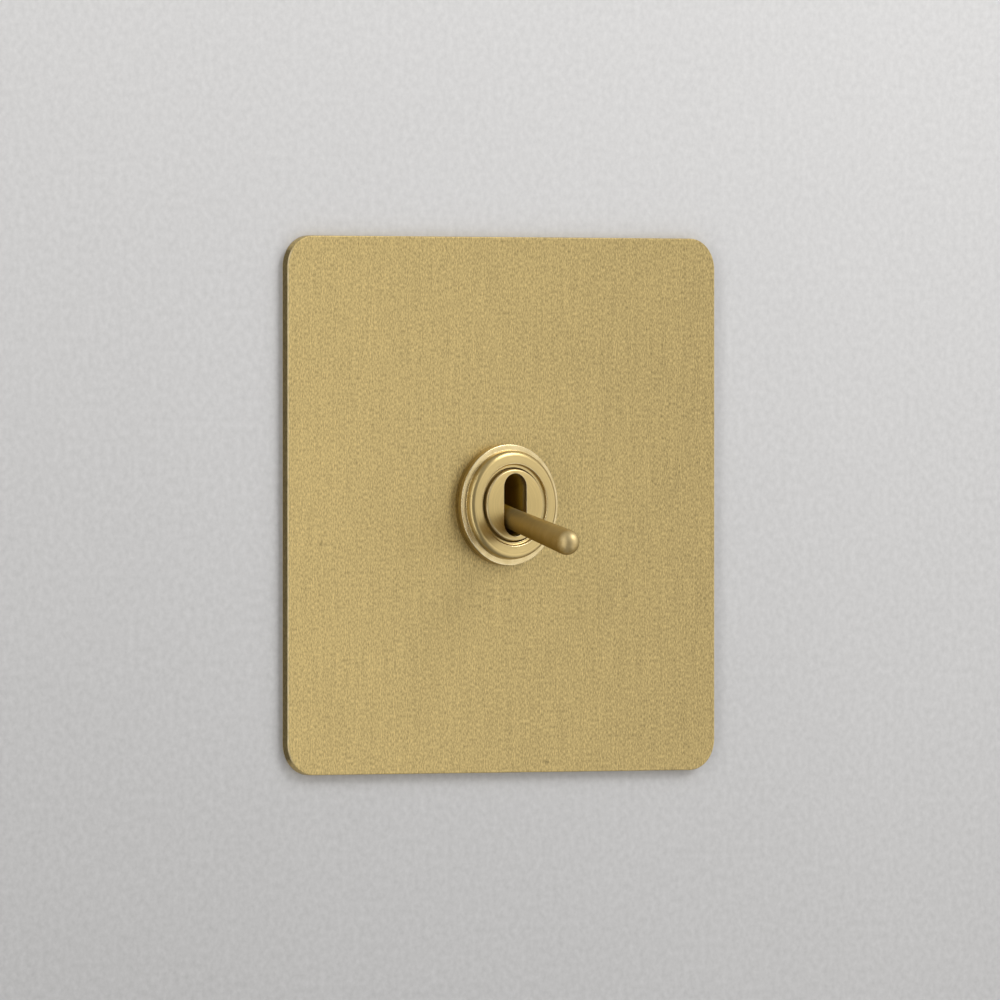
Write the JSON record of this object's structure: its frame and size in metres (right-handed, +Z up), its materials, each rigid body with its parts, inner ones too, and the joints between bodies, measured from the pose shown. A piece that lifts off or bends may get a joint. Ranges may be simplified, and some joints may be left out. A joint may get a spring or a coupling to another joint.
{
  "type": "dolly light switch",
  "caption": "Square satin brass wall plate with a turned ring and a round-tipped dolly lever that rocks up and down to switch a light, with its works behind.",
  "frame": {"origin": "centre of the plate's back face, on the wall", "axes": "+X right, +Y into the wall, +Z up; the dolly points towards -Y"},
  "size_m": [0.086, 0.0524, 0.086],
  "materials": {
    "satin_brass": "satin, fine upright grain",
    "turned_brass": "turned, soft shine",
    "raw_brass": "stamped, plain",
    "zinc_steel": "zinc plated",
    "spring_steel": "drawn wire",
    "silver": "contact silver",
    "dark_moulding": "moulded, fine matt",
    "pale_nylon": "moulded"
  },
  "bodies": {
    "switch": {"front_plate": "satin_brass", "dolly_ring": "turned_brass", "switch_bush": "turned_brass", "pivot_pin": "spring_steel", "fixing_nut": "raw_brass", "lock_washer": "zinc_steel", "yoke": "zinc_steel", "case_frame": "zinc_steel", "switch_case": "dark_moulding", "terminal_base": "dark_moulding", "common_terminal": "raw_brass", "upper_terminal": "raw_brass", "lower_terminal": "raw_brass", "fixed_contacts": "silver", "terminal_screws": "raw_brass", "earth_terminal": "raw_brass", "earth_screw": "raw_brass", "earth_rivet": "raw_brass"},
    "dolly": {"dolly": "turned_brass", "plunger_spring": "spring_steel"},
    "plunger": {"plunger": "pale_nylon"},
    "rocker": {"rocker_contact": "raw_brass", "moving_contacts": "silver"}
  },
  "joints": [
    {"name": "dolly_rock", "type": "hinge", "parent": "switch", "child": "dolly", "pos_m": [0, 0.00495, 0], "axis": [-1, 0, 0], "range_deg": [0, 28.6]},
    {"name": "plunger_press", "type": "slide", "parent": "dolly", "child": "plunger", "axis": [0, -0.969, -0.247], "range_m": [0, 0.0012], "stiffness_N_per_m": 300, "springref_m": -0.003, "deforming": ["plunger_spring"]},
    {"name": "rocker_tilt", "type": "hinge", "parent": "switch", "child": "rocker", "pos_m": [0, 0.01705, 0], "axis": [1, 0, 0], "range_deg": [0, 16]}
  ],
  "couplings": [
    {"joint": "rocker_tilt", "follows": "dolly_rock", "ratio": 0.55944}
  ]
}
